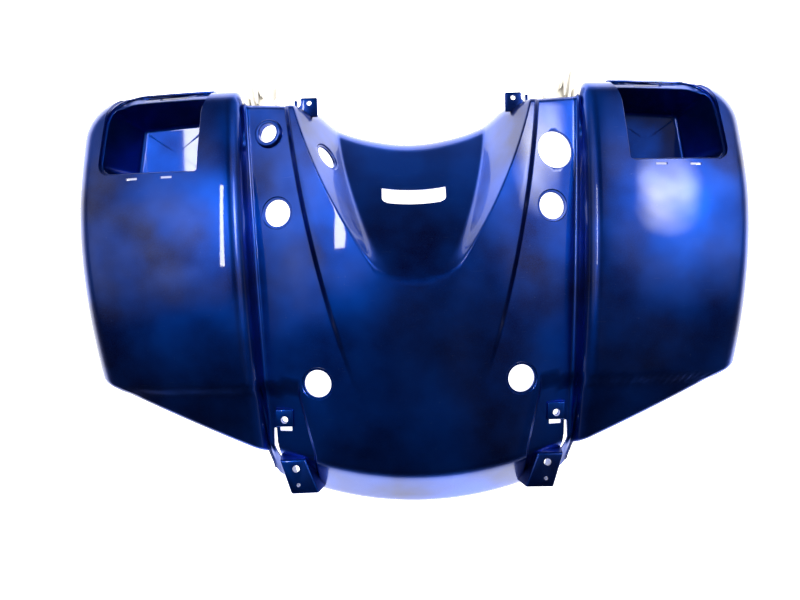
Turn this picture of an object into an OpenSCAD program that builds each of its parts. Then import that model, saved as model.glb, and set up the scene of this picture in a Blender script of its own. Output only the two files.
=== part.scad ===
// Front body cover of a four-wheeled seat scooter, moulded in one piece and lying face up.
// X runs across the cover, Y towards the steering column, Z out of the painted face.
// The wall is one closed skin: a grid of stations on the outer form, its inner offset and the rim between them.

/* [Overall] */
// Width over the two wings
overall_w = 680; // [640:2:720]
// Wall of the moulding
wall_t = 3; // [2.4:0.2:3.6]
// Height of the middle of the panel over the table
crown_z = 122; // [112:1:136]

/* [Panel] */
// Width between the feet of the two grooves at the top
panel_w_top = 334; // [320:2:348]
// Width between the feet of the two grooves at the bottom
panel_w_low = 297; // [285:1:305]
// Radius of the crown across the panel
panel_cross_r = 523; // [460:1:700]
// Radius of the crown along the panel
panel_long_r = 1500; // [1200:10:2400]
// Top edge of the panel beside the wings
panel_top_y = 203; // [199:0.5:206]
// Bottom edge of the panel on its middle line
panel_low_y = -208; // [-214:0.5:-204]
// Radius of the bottom edge seen from the front
lip_plan_r = 400; // [350:5:600]
// Run of the sloped lip along the bottom edge
lip_run = 36; // [28:1:42]
// Slope of the lip
lip_angle = 44; // [35:1:50]
// Height of the step along the styling lines
step_h = 4; // [2:0.5:6]

/* [Wings] */
// Rise of the wing over the foot of its groove
wing_rise = 27; // [20:1:34]
// Radius of the shoulder along the groove
shoulder_r = 15; // [10:1:20]
// Fall of the wing from the shoulder to its outer edge
wing_fall = 24; // [16:1:32]
// Radius of the wing along its length
wing_long_r = 560; // [480:10:900]
// Radius of the rolled outer and top edges
wing_edge_r = 17; // [12:1:19]
// Radius of the top outer corner seen from the front
corner_r = 45; // [38:1:52]
// Top edge of the wing
wing_top_y = 219; // [214:0.5:224]
// Lower outer corner of the wing
wing_corner_y = -72; // [-80:1:-66]
// Slope of the wing's lower edge
wing_low_slope = 0.466; // [0.42:0.002:0.5]
// How far the lower outer corner stands in from the widest place
wing_tuck = 23.5; // [16:0.5:30]
// Height of the wheel arch cut in the outer side wall
arch_h = 42; // [30:1:50]

/* [Recess] */
// Width of the steering column recess at its foot
recess_w_low = 72; // [60:1:80]
// Width of the recess at its open end
recess_w_top = 231; // [222:1:236]
// Lower end of the recess
recess_y = 16.5; // [8:0.5:24]
// Slope of the recess floor
recess_slope = 0.455; // [0.36:0.005:0.5]
// Radius of the clearance arc round the steering column
column_r = 165; // [160:1:175]
// Lowest point of the clearance arc
column_y = 168; // [164:0.5:172]

/* [Holes] */
// Diameter of the four plug holes
plug_d = 26.8; // [20:0.2:28]
// Diameter of the switch hole on the right
switch_d = 37.5; // [30:0.5:40]
// Diameter of the charger hole in the raised ring on the left
ring_d = 19.2; // [14:0.2:22]
// Height of the raised ring
ring_h = 4; // [2:0.5:6]
// Diameter of the hole in the recess wall
wall_hole_d = 24; // [18:0.5:26]
// Width of the curved slot in the recess floor
slot_w = 65; // [50:1:72]
// Height of the curved slot
slot_h = 15.5; // [10:0.5:18]
// Upper plug holes, in from the groove foot
plug_high_in = 25.2; // [21:0.2:32]
// Lower plug holes, in from the groove foot
plug_low_in = 52.5; // [44:0.5:60]
// Switch hole, in from the groove foot
switch_in = 22.6; // [21:0.2:26]
// Charger hole, in from the groove foot
ring_in = 22.4; // [20:0.2:28]

/* [Lamp pockets] */
// Inner side of the lamp opening, from the middle of the cover
lamp_in_x = 212; // [208:1:220]
// Width of the lamp opening
lamp_w = 104; // [94:1:106]
// Lower side of the lamp opening
lamp_low_y = 131; // [126:1:140]
// Height of the pocket floor over the table
lamp_floor_z = 26; // [14:1:34]
// Depth of the seat round the lamp opening
seat_depth = 7; // [4:0.5:9]
// Width of the seat
seat_w = 4; // [3:0.5:6]
// Length of the clip slots of the lens
clip_l = 12; // [8:0.5:16]
// Width of the clip slots of the lens
clip_w = 2.4; // [1.6:0.2:3]

/* [Brackets] */
// Diameter of the bumper bolt holes
bolt_d = 7; // [5:0.1:8]
// Diameter of the small locating holes
pin_d = 3.8; // [3:0.1:4.4]
// Diameter of the screw holes in the ears beside the arc
ear_d = 4.8; // [3.5:0.1:6]
// Distance between the two prongs of a top fork
fork_w = 21; // [17:0.5:25]
// Reach of the top forks past the panel
fork_reach = 40; // [34:1:46]
// Wall of the fork prongs
prong_t = 2.4; // [1.8:0.2:3]
// Length of the locating slot in the upper lug
lug_slot_l = 12.4; // [9:0.2:14]
// Width of the locating slot in the upper lug
lug_slot_w = 4.4; // [3:0.2:5]

/* [Hidden] */
paint = "#0a2f8f";
half_w = overall_w / 2;
mid_y = (panel_top_y + fork_reach + panel_low_y) / 2;
lip_rise = tan(lip_angle);
panel_mid_y = 10;
wing_mid_y = 20;
step_low_y = -100;
step_top_y = 184;
edge_small_r = 6;
edge_arc_r = 13;
edge_low_r = 5;
wall_lean = 4;
foot_run = 3;
arc_end = recess_w_top / 2 - 18.5;
plug_high = [foot_x(89) - plug_high_in, 89];
plug_low = [foot_x(-79.4) - plug_low_in, -79.4];
plug_seat_depth = 1;
plug_seat_w = 2.6;
switch_at = [foot_x(145.4) - switch_in, 145.4];
ring_at = [ring_in - foot_x(169), 169];
ring_wall = 4.4;
wall_hole_y = 147.6;
wall_hole_at = [15.3 - recess_x(wall_hole_y), wall_hole_y];
slot_y = 111.7;
slot_bow = 2.8;
lamp_h = 85;
lamp_small_r = 12;
lamp_corner_r = 35;
lamp_draft = 1.6;
lamp_top_set = 12;
lamp_notch_z = 34;
boss_face = [[102, -188.5], [129.5, -189], [140.5, -155.5], [115, -155]];
boss_foot = [[97, -190], [131.5, -191], [142.5, -142], [111, -141]];
boss_face_z = 100;
boss_foot_z = 58;
lug_face = [[126, -121.6], [143, -121.6], [143, -105], [126, -105]];
lug_foot = [[124, -123], [144, -123], [144, -102], [124, -102]];
lug_face_z = 101;
lug_foot_z = 90;
boss_bolt_at = [124.3, -164];
boss_pin_at = [122.3, -180];
lug_bolt_at = [134.2, -115.2];
lug_slot_at = [133.6, -124.7];
// Sliver of daylight between each bracket and its groove wall
gap_line = [[143.4, -124], [146, -124], [146.8, -141], [144, -152], [139.6, -166.5], [138.4, -166], [140.4, -152.6], [143, -138]];
clip_x = [lamp_in_x + 30, lamp_in_x + 66];
clip_set = 5;
top_clip_x = lamp_in_x + 31;
top_clip_l = 27;
ear_at = [recess_w_top / 2 - 11, panel_top_y + 1];
ear_z = panel_z(ear_at.x, panel_top_y) + 2.5;
fork_x = foot_x(panel_top_y) - 19.6;
fork_z = panel_z(fork_x, panel_top_y) - 12.8;
fork_tilt = 12;

function clamp01(t) = min(1, max(0, t));
function mix(a, b, t) = a + (b - a) * t;
function smooth(t) = let (u = clamp01(t)) u * u * (3 - 2 * u);
// Lesser of two values with the corner between them rounded over a width k
function soft_min(a, b, k) = let (h = clamp01(0.5 + 0.5 * (b - a) / k)) mix(b, a, h) - k * h * (1 - h);
// A curve from lo to hi that stands off the straight line by bow at its middle
function bowed(lo, hi, bow, t) = mix(lo, hi, t) + 4 * bow * t * (1 - t);

// Feature lines in plan, each a distance from the middle line at station y
function foot_x(y) = mix(panel_w_low, panel_w_top, (y + 145) / 345) / 2;
function recess_x(y) = y < recess_y + 7
    ? recess_w_low / 2 + 0.05 * (y - recess_y - 7)
    : bowed(recess_w_low, recess_w_top, 16.4, (y - recess_y - 7) / (189 - recess_y - 7)) / 2;
function recess_wall_run(y) = 9 + 0.17 * max(0, y - recess_y - 7);
function step_x(y) = bowed(57, 123, 8, (y - step_low_y) / (step_top_y - step_low_y));
function pad_x(y) = mix(103, 117, clamp01((y + 150) / 60));
function outer_x(y) =
    let (corner_y = wing_top_y - corner_r)
    y > corner_y
    ? half_w - corner_r + sqrt(max(0, corner_r ^ 2 - (y - corner_y) ^ 2))
    : half_w - wing_tuck * clamp01((110 - y) / (110 - wing_corner_y)) ^ 1.5;

// Top and bottom ends of the cover at distance x from the middle line
function top_y(x) =
    let (arc = column_y + column_r - sqrt(column_r ^ 2 - min(x, arc_end) ^ 2))
    x < arc_end ? arc
    : x < foot_x(200) ? mix(arc - 4.5, panel_top_y, clamp01((x - arc_end - 8) / (foot_x(200) - arc_end - 8)))
        + 4.5 * clamp01((arc_end + 8 - x) / 8)
    : mix(panel_top_y, wing_top_y, smooth((x - foot_x(200)) / 12));
function wing_low_y(x) = wing_corner_y - wing_low_slope * (half_w - wing_tuck - x);
function panel_end_y(x) = panel_low_y + lip_plan_r - sqrt(lip_plan_r ^ 2 - x ^ 2);

// Height of the panel, the recess cut out of it and the pads at its lower corners
function recess_cut(x, y) =
    let (
        floor_cut = recess_slope * (y - recess_y - 6.5 * min(1, (x / 36) ^ 2)),
        wall_cut = (recess_x(y) - x) / recess_wall_run(y) * recess_slope * max(6, y - recess_y),
        raw = soft_min(floor_cut, wall_cut, 5)
    )
    -soft_min(-raw, 0, 2);
function pad_cut(x, y) = 3 * smooth((x - pad_x(y)) / 4) * smooth((-82 - y) / 4);
function panel_z(x, y) =
    crown_z - x ^ 2 / (2 * panel_cross_r) - (y - panel_mid_y) ^ 2 / (2 * panel_long_r)
    + step_h * smooth((step_x(y) + 3 - x) / 6) * smooth((y - step_low_y) / 130)
    - recess_cut(x, y) - pad_cut(x, y);
function foot_z(y) = panel_z(foot_x(y), y);
function shoulder_z(y) = foot_z(y) + wing_rise
    + (foot_x(y) > 0 ? (y - panel_mid_y) ^ 2 / (2 * panel_long_r) - (y - wing_mid_y) ^ 2 / (2 * wing_long_r) : 0);

// Across stations. Each is [kind, x, z] at station y: kind 0 lies on the panel, 1 on the wing
function panel_stations(y) =
    let (b = recess_x(y), c = b - recess_wall_run(y), s = step_x(max(y, step_low_y - 60)), f = foot_x(y), p = pad_x(y))
    [for (x = [
        0, c * 0.42, c * 0.8, c - 3, c + 2, mix(c, b, 0.5), b - 2, b + 0.6, b + 3,
        max(s - 3, b + 5), max(s - 1, b + 7), max(s + 1, b + 9), max(s + 3, b + 11),
        max(p, s + 5) , max(p + 4, s + 9), mix(max(p + 4, s + 9), f, 0.5), f - foot_run
    ]) [0, x, panel_z(x, y)]];
function wall_stations(y) =
    let (f = foot_x(y), zf = foot_z(y), zs = shoulder_z(y), r = shoulder_r)
    concat(
        [[0.15, f - 0.8, zf + 0.4], [0.3, f, zf + foot_run]],
        [for (a = [0, 30, 60]) [0.5 + a / 180, f + wall_lean + r * (1 - cos(a)), zs - r * (1 - sin(a))]]
    );
function wing_stations(y) =
    let (f = foot_x(y), x0 = f + wall_lean + shoulder_r, x1 = outer_x(y), zs = shoulder_z(y), r = wing_edge_r)
    [for (u = [0, 0.25, 0.5, 0.75, 1, 1.38, 1.71, 1.92, 2])
        let (x = u <= 1 ? mix(x0, x1 - r, u) : x1 - r + r * (u == 2 ? 1 : u == 1.92 ? 0.924 : u == 1.71 ? 0.707 : 0.383))
        [1, x, zs - wing_fall * ((x - x0) / (half_w - x0)) ^ 1.6]];
function stations(y) = concat(panel_stations(y), wall_stations(y), wing_stations(y));
across_n = len(stations(0));

// Along rows. Each column runs from its lower end to its upper end with rows at the edges and the foot of the recess
low_steps = 9;
high_steps = 13;
edge_share = [0, 0.076, 0.293, 0.617, 1];
function lip_share(kind) = smooth((0.55 - kind) / 0.4);
function low_end(kind, x) = mix(wing_low_y(x), panel_end_y(min(x, foot_x(-145) - 8)), lip_share(kind));
function top_r(kind, x) = mix(x < arc_end ? edge_arc_r : mix(edge_arc_r, edge_small_r, clamp01((x - arc_end) / 14)),
    wing_edge_r, smooth((kind - 0.2) / 0.8));
function settle_low(i, y, n) = n == 0 ? y : let (s = stations(y)[i]) settle_low(i, low_end(s[0], s[1]), n - 1);
function settle_top(i, y, n) = n == 0 ? y : let (s = stations(y)[i]) settle_top(i, top_y(s[1]), n - 1);
function rows(i) =
    let (
        lo = settle_low(i, -150, 5), hi = settle_top(i, 200, 5), s = stations(hi)[i], k = s[0],
        lip = lip_share(k), rt = top_r(k, s[1]),
        low_off = [for (e = [0 : 4]) mix(edge_share[e] * edge_low_r, [0, 1.5, 4.5, lip_run - 2, lip_run + 2][e], lip)],
        foot = recess_y + 6.5 * min(1, (s[1] / 60) ^ 2),
        a = lo + low_off[4], b = hi - rt
    )
    concat(
        [for (e = [0 : 4]) lo + low_off[e]],
        [for (e = [1 : low_steps]) mix(a, foot - 2, e / low_steps)],
        [foot + 1, foot + 4],
        [for (e = [1 : high_steps]) mix(foot + 4, b, e / high_steps)],
        [for (e = [3 : -1 : 0]) hi - edge_share[e] * rt]
    );

// Fall of a quarter-round edge of radius r at distance d in from the edge
function edge_fall(d, r) = d >= r ? 0 : r - sqrt(max(0, r ^ 2 - (r - max(0, d)) ^ 2));
function wing_inset(x, y) =
    let (cx = half_w - corner_r, cy = wing_top_y - corner_r)
    x > cx && y > cy ? corner_r - norm([x - cx, y - cy]) : min(outer_x(y) - x, wing_top_y - y);
function fall(kind, x, y, lo, hi) =
    let (lip = lip_share(kind), side = kind == 1 ? edge_fall(wing_inset(x, y), wing_edge_r) : 0)
    max(side, edge_fall(hi - y, top_r(kind, x)))
    + mix(edge_fall(y - lo, edge_low_r), edge_fall(y - lo, 4.5) * 0.7 + max(0, lip_run - y + lo) * lip_rise, lip);
function flange_z(kind, x, y, z, end) =
    let (
        s = clamp01((y - wing_corner_y) / (wing_top_y - corner_r - wing_corner_y)),
        side_z = arch_h * sqrt(4 * s * (1 - s)),
        low_z = mix(z - 9, 0, smooth((x - (half_w - wing_tuck) + 60) / 58))
    )
    end == "side" ? min(side_z, z - 8)
    : end == "low" ? mix(low_z, z - 7, lip_share(kind))
    : mix(z - 11, 0, smooth((kind - 0.5) / 0.5));

// One column of outer points, from the flange at the lower end to the flange at the upper end
function column(i, flange = false) =
    let (
        ys = rows(i), n = len(ys) - 1,
        pts = [for (y = ys) let (s = stations(y)[i]) [s[1], y, s[2] - fall(s[0], s[1], y, ys[0], ys[n])]],
        k = stations(0)[i][0]
    )
    flange
    ? concat(
        [[pts[0].x, pts[0].y, min(flange_z(k, pts[0].x, pts[0].y, pts[0].z, "low"), pts[0].z - 8)]],
        [for (p = pts) [p.x, p.y, flange_z(k, p.x, p.y, p.z, "side")]],
        [[pts[n].x, pts[n].y, 0]])
    : concat(
        [[pts[0].x, pts[0].y, flange_z(k, pts[0].x, pts[0].y, pts[0].z, "low")]],
        pts,
        [[pts[n].x, pts[n].y, flange_z(k, pts[n].x, pts[n].y, pts[n].z, "top")]]);
half = concat([for (i = [0 : across_n - 1]) column(i)], [column(across_n - 1, true)]);
outer = concat(
    [for (i = [len(half) - 1 : -1 : 1]) [for (p = half[i]) [-p.x, p.y, p.z]]],
    half
);

function unit(v) = v / max(1e-9, norm(v));
// Outward direction at a grid point; along the rim it lies flat, because the flanges stand upright
function normal_at(g, i, j) =
    let (
        n = len(g) - 1, m = len(g[0]) - 1,
        a = min(n - 1, max(1, i)), b = min(m - 1, max(1, j)),
        v = cross(g[a + 1][b] - g[a - 1][b], g[a][b + 1] - g[a][b - 1]),
        on_rim = a != i || b != j
    )
    unit(on_rim ? [v.x, v.y, 0] : v);
inner = [for (i = [0 : len(outer) - 1]) [for (j = [0 : len(outer[0]) - 1])
    outer[i][j] - wall_t * normal_at(outer, i, j)]];

module skin() {
    n = len(outer);
    m = len(outer[0]);
    half_n = (n - 1) / 2;
    // The side flange and the end flanges share one point at each corner of the cover
    function at(i, j) =
        let (side = i == 0 || i == n - 1, a = i == 0 ? 1 : n - 2)
        side && j < 2 ? a * m : side && j > m - 3 ? a * m + m - 1 : i * m + j;
    function under(i, j) = n * m + at(i, j);
    // Two triangles of each cell, split the same way on both halves of the cover
    sheet = [for (i = [0 : n - 2]) for (j = [0 : m - 2]) each i < half_n
        ? [[at(i, j), at(i + 1, j + 1), at(i + 1, j)], [at(i, j), at(i, j + 1), at(i + 1, j + 1)]]
        : [[at(i, j), at(i, j + 1), at(i + 1, j)], [at(i, j + 1), at(i + 1, j + 1), at(i + 1, j)]]];
    back = [for (t = sheet) [t[0] + n * m, t[2] + n * m, t[1] + n * m]];
    rim = concat(
        [for (i = [0 : n - 2]) each [
            [at(i, 0), at(i + 1, 0), under(i + 1, 0)], [at(i, 0), under(i + 1, 0), under(i, 0)],
            [at(i, m - 1), under(i + 1, m - 1), at(i + 1, m - 1)], [at(i, m - 1), under(i, m - 1), under(i + 1, m - 1)]]],
        [for (j = [0 : m - 2]) each [
            [at(0, j), under(0, j + 1), at(0, j + 1)], [at(0, j), under(0, j), under(0, j + 1)],
            [at(n - 1, j), at(n - 1, j + 1), under(n - 1, j + 1)], [at(n - 1, j), under(n - 1, j + 1), under(n - 1, j)]]]
    );
    polyhedron(
        points = concat([for (c = outer) each c], [for (c = inner) each c]),
        faces = [for (t = concat(sheet, back, rim)) if (t[0] != t[1] && t[1] != t[2] && t[2] != t[0]) t]
    );
}

// Places on the face: a frame whose Z stands square to the painted surface
function panel_normal(x, y) =
    let (a = abs(x), e = 1.5)
    unit([-(panel_z(a + e, y) - panel_z(a - e, y)) / (2 * e) * sign(x),
        -(panel_z(a, y + e) - panel_z(a, y - e)) / (2 * e), 1]);
module square_to(n) {
    rotate([0, acos(n.z), atan2(n.y, n.x)]) children();
}
module on_panel(x, y) {
    translate([x, y, panel_z(abs(x), y)]) square_to(panel_normal(x, y)) children();
}
module both_sides() {
    children();
    mirror([1, 0, 0]) children();
}

// A straight-sided solid between two outlines with the same number of points
module loft(low, low_z, high, high_z) {
    n = len(low);
    polyhedron(
        points = concat([for (p = low) [p.x, p.y, low_z]], [for (p = high) [p.x, p.y, high_z]]),
        faces = concat([[for (i = [0 : n - 1]) i]], [[for (i = [n - 1 : -1 : 0]) n + i]],
            [for (i = [0 : n - 1]) each [[i, n + i, (i + 1) % n], [(i + 1) % n, n + i, n + (i + 1) % n]]])
    );
}
function arc_points(c, r, from, to, n) = [for (k = [0 : n]) let (a = mix(from, to, k / n)) c + r * [cos(a), sin(a)]];

// Holes through the panel
module plug_hole() {
    translate([0, 0, -12]) cylinder(h = 24, d = plug_d);
    translate([0, 0, -plug_seat_depth]) cylinder(h = 12, d = plug_d + 2 * plug_seat_w);
}
module panel_holes() {
    both_sides() {
        on_panel(plug_high.x, plug_high.y) plug_hole();
        on_panel(plug_low.x, plug_low.y) plug_hole();
    }
    on_panel(switch_at.x, switch_at.y) translate([0, 0, -12]) cylinder(h = 24, d = switch_d);
    on_panel(ring_at.x, ring_at.y) translate([0, 0, -12]) cylinder(h = 30, d = ring_d);
    on_panel(wall_hole_at.x, wall_hole_at.y) {
        translate([0, 0, -14]) cylinder(h = 28, d = wall_hole_d);
        translate([0, 0, -1]) cylinder(h = 14, d = wall_hole_d + 5);
    }
}
module raised_ring() {
    on_panel(ring_at.x, ring_at.y) translate([0, 0, -2.4]) cylinder(h = ring_h + 2.4, d = ring_d + 2 * ring_wall);
}
module curved_slot() {
    w = slot_w / 2;
    bow_r = (w ^ 2 + slot_bow ^ 2) / (2 * slot_bow);
    half_a = asin(w / bow_r);
    translate([0, 0, 20]) linear_extrude(height = 80) polygon(concat(
        arc_points([0, slot_y + bow_r], bow_r, 270 - half_a, 270 + half_a, 10),
        arc_points([w - 4, slot_y + slot_bow - slot_h + 4], 4, 0, -80, 4),
        arc_points([0, slot_y - slot_h + bow_r], bow_r, 270 + half_a - 6, 270 - half_a + 6, 8),
        arc_points([4 - w, slot_y + slot_bow - slot_h + 4], 4, 260, 180, 4)
    ));
}

// Lamp pockets: a seat for the lens round a deep bucket, open over the rolled top edge
function lamp_outline(inset, top, n = 6) =
    let (
        x0 = lamp_in_x + inset, x1 = lamp_in_x + lamp_w - inset, y0 = lamp_low_y + inset,
        r = max(2, lamp_small_r - inset), big = lamp_corner_r - inset,
        corner_y = min(lamp_low_y + lamp_h - inset, top - 0.5) - big
    )
    concat(
        [[x0, top]],
        arc_points([x0 + r, y0 + r], r, 180, 270, n),
        arc_points([x1 - r, y0 + r], r, 270, 360, n),
        arc_points([x1 - big, corner_y], big, 0, 90, n + 2),
        [[x1 - big - 1, top]]
    );
function wing_z(x, y) =
    let (s = shoulder_z(y), x0 = foot_x(y) + wall_lean + shoulder_r)
    s - wing_fall * (max(0, x - x0) / (half_w - x0)) ^ 1.6 - edge_fall(wing_inset(x, y), wing_edge_r);
module under_wing(drop, set_in) {
    n = 9;
    x0 = lamp_in_x - 8;
    x1 = lamp_in_x + lamp_w + 8;
    y0 = lamp_low_y - 8;
    y1 = wing_top_y - 0.6;
    xs = [for (i = [0 : n]) mix(x0, x1, i / n)];
    ys = [for (j = [0 : n]) mix(y0, y1, 1 - (1 - j / n) ^ 1.6)];
    top = [for (x = xs) [for (y = ys) [x, y - set_in, wing_z(x, y) - drop]]];
    m = n + 1;
    low_z = lamp_floor_z - wall_t;
    faces = concat(
        [for (i = [0 : n - 1]) for (j = [0 : n - 1]) each [
            [i * m + j, i * m + j + 1, (i + 1) * m + j], [i * m + j + 1, (i + 1) * m + j + 1, (i + 1) * m + j]]],
        [[for (i = [0 : n]) i * m, m * m + 1, m * m]],
        [[for (i = [n : -1 : 0]) i * m + n, m * m + 3, m * m + 2]],
        [[for (j = [n : -1 : 0]) j, m * m, m * m + 3]],
        [[for (j = [0 : n]) n * m + j, m * m + 2, m * m + 1]],
        [[m * m, m * m + 1, m * m + 2, m * m + 3]]
    );
    polyhedron(points = concat([for (c = top) each c],
        [[x0, y0 - set_in, low_z], [x1, y0 - set_in, low_z], [x1, y1 - set_in, low_z], [x0, y1 - set_in, low_z]]),
        faces = faces);
}
function lamp_inner(grow, draft) =
    lamp_outline(seat_w + draft - grow, lamp_low_y + lamp_h - lamp_top_set - draft + grow);
module lamp_tub(grow, floor_z) {
    loft(lamp_inner(grow, lamp_draft), floor_z, lamp_inner(grow, -lamp_draft), lamp_floor_z + 110);
}
module lamp_frame() {
    difference() {
        intersection() {
            translate([0, 0, lamp_floor_z - wall_t]) linear_extrude(height = 120)
                polygon(lamp_outline(-wall_t, wing_top_y + 10));
            under_wing(1.2, 0.9);
        }
        difference() {
            translate([0, 0, -0.5]) under_wing(seat_depth + 4.5, 0);
            lamp_tub(wall_t, lamp_floor_z - 20);
        }
    }
}
module lamp_cut() {
    difference() {
        translate([0, 0, lamp_notch_z]) linear_extrude(height = 120) polygon(lamp_outline(0, wing_top_y + 20));
        under_wing(seat_depth, 2);
    }
    lamp_tub(0, lamp_floor_z);
    for (x = clip_x)
        translate([x - clip_l / 2, lamp_low_y - clip_set - clip_w / 2, lamp_floor_z + 30]) cube([clip_l, clip_w, 60]);
    translate([top_clip_x - top_clip_l / 2, wing_top_y - 5.6 - clip_w / 2, lamp_floor_z + 14]) cube([top_clip_l, clip_w, 60]);
}

// Bumper brackets at the lower corners of the panel
module bracket_boss() {
    loft(boss_foot, boss_foot_z, boss_face, boss_face_z);
    loft(lug_foot, lug_foot_z, lug_face, lug_face_z);
}
module bracket_holes() {
    loft(inset_quad(boss_foot, wall_t), boss_foot_z - 25, inset_quad(boss_face, wall_t), boss_face_z - wall_t);
    translate([boss_bolt_at.x, boss_bolt_at.y, boss_face_z - 20]) cylinder(h = 30, d = bolt_d);
    translate([boss_pin_at.x, boss_pin_at.y, boss_face_z - 20]) cylinder(h = 30, d = pin_d);
    translate([lug_bolt_at.x, lug_bolt_at.y, lug_face_z - 30]) cylinder(h = 50, d = bolt_d);
    translate([lug_slot_at.x - lug_slot_l / 2, lug_slot_at.y - lug_slot_w / 2, lug_face_z - 30])
        cube([lug_slot_l, lug_slot_w, 50]);
    translate([0, 0, boss_foot_z]) linear_extrude(height = 70) polygon(gap_line);
}
function inset_quad(q, d) =
    [[q[0].x + d, q[0].y + d], [q[1].x - d, q[1].y + d], [q[2].x - d, q[2].y - d], [q[3].x + d, q[3].y - d]];

// Ears with a screw hole at the ends of the clearance arc
module ear() {
    difference() {
        translate([ear_at.x, ear_at.y, ear_z]) linear_extrude(height = wall_t)
            polygon([[-8.5, -14], [-8.5, 5.5], [7, 5.5], [8.5, 4], [8.5, -1], [12, -6], [12, -14]]);
        translate([ear_at.x, ear_at.y, ear_z - 5]) cylinder(h = 20, d = ear_d);
    }
}

// Forks that stand off the top corners of the panel
module fork() {
    web_l = 0.7 * fork_reach;
    translate([fork_x - fork_w / 2, panel_top_y - 4, fork_z]) {
        rotate([-fork_tilt, 0, 0]) cube([fork_w, web_l, wall_t]);
        for (x = [0, fork_w - prong_t]) translate([x, 0, 4]) rotate([0, 90, 0]) linear_extrude(height = prong_t)
            polygon([[0, 6], [12, 6], [12, 22], [7, fork_reach + 4], [1.5, fork_reach + 4]]);
    }
    // Rib that carries the fork down from the corner of the panel
    translate([fork_x + fork_w / 2 + 3, panel_top_y - 4, fork_z - 8]) cube([prong_t, 18, 12]);
    translate([fork_x + fork_w / 2 - 1, panel_top_y - 3, fork_z - 4]) cube([5, 8, wall_t]);
}

module front_body_cover() {
    color(paint) translate([0, -mid_y, 0]) difference() {
        union() {
            skin();
            both_sides() {
                lamp_frame();
                bracket_boss();
                ear();
                fork();
            }
            raised_ring();
        }
        both_sides() {
            lamp_cut();
            bracket_holes();
        }
        panel_holes();
        curved_slot();
    }
}
front_body_cover();
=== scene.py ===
"""Dresses the front body cover: shell, lamp pockets, brackets, ears, forks and the studio round them."""

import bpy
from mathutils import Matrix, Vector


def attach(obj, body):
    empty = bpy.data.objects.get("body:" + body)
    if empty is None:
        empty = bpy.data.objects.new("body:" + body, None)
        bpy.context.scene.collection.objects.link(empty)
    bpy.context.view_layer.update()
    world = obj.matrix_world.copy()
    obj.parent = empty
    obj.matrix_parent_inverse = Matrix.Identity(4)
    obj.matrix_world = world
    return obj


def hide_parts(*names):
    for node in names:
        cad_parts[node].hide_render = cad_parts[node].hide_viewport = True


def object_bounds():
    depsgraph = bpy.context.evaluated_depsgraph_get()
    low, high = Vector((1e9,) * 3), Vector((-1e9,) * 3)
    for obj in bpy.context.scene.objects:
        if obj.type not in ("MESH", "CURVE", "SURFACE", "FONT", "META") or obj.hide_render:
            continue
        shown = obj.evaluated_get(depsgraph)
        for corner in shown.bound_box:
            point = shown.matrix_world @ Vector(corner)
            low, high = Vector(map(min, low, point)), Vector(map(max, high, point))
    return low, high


bl_info = {
    "name": "Front body cover",
    "version": (1, 0, 0),
    "blender": (4, 5, 0),
    "location": "3D View > Sidebar > Cover",
    "description": "Painted front body cover of a four-wheeled seat scooter, with a plain studio",
    "category": "Object",
}

import math

import bpy
import numpy as np
from bpy.props import FloatProperty, FloatVectorProperty, IntProperty, PointerProperty
from mathutils import Matrix, Vector

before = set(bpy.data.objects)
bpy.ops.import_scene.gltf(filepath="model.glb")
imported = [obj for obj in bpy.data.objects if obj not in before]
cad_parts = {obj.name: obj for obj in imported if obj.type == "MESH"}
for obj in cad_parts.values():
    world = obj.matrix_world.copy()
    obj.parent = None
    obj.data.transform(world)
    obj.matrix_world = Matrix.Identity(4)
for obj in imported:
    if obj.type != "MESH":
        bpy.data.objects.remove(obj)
CAD_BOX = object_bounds()

MM = 0.001
NODE = "front_body_cover"
# The source's own zero lies this far along Y from the middle of the cover
MID_Y = 17.5


def length(name, text, default):
    """A size in metres that the sidebar shows as a length."""
    return FloatProperty(name=name, description=text, default=default, unit="LENGTH", precision=4)


class CoverSizes(bpy.types.PropertyGroup):
    width: length("Width", "Width over the two wings", CAD_BOX[1].x - CAD_BOX[0].x)
    wall: length("Wall", "Wall of the moulding", 0.003)
    crown: length("Crown", "Height of the middle of the panel", 0.122)
    wing_rise: length("Wing rise", "Rise of a wing over the foot of its groove", 0.027)
    wing_fall: length("Wing fall", "Fall of a wing from its shoulder to its outer edge", 0.024)
    shoulder: length("Shoulder radius", "Radius along the inner edge of a wing", 0.015)
    step: length("Styling step", "Height of the step along the styling lines", 0.004)
    pocket_floor: length("Pocket floor", "Height of the lamp pocket floor", 0.028)
    plug: length("Plug hole", "Diameter of the four plug holes", 0.0268)
    switch: length("Switch hole", "Diameter of the switch hole", 0.0375)
    ring: length("Ring hole", "Diameter of the hole in the raised ring", 0.0192)
    wall_hole: length("Wall hole", "Diameter of the hole in the recess wall", 0.024)
    bolt: length("Bolt hole", "Diameter of the bracket bolt holes", 0.007)
    pin: length("Pin hole", "Diameter of the small locating holes", 0.0038)
    ear_hole: length("Ear hole", "Diameter of the screw hole in each ear", 0.0048)
    detail: IntProperty(name="Detail", description="Grid lines for each span of the form",
                        default=2, min=1, max=3)


class CoverPaint(bpy.types.PropertyGroup):
    bright: FloatVectorProperty(name="Bright blue", description="Paint where the flake lies open",
                                subtype="COLOR", size=3, default=(0.0010, 0.062, 0.46))
    deep: FloatVectorProperty(name="Deep blue", description="Paint where the flake lies dense",
                              subtype="COLOR", size=3, default=(0.0010, 0.004, 0.055))
    raw: FloatVectorProperty(name="Raw moulding", description="Unpainted plastic",
                             subtype="COLOR", size=3, default=(0.78, 0.74, 0.64))
    base_gloss: FloatProperty(name="Flake roughness", description="Roughness of the flake layer",
                              subtype="FACTOR", default=0.34, min=0, max=1)
    coat_gloss: FloatProperty(name="Lacquer roughness", description="Roughness of the clear lacquer",
                              subtype="FACTOR", default=0.035, min=0, max=1)


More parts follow.
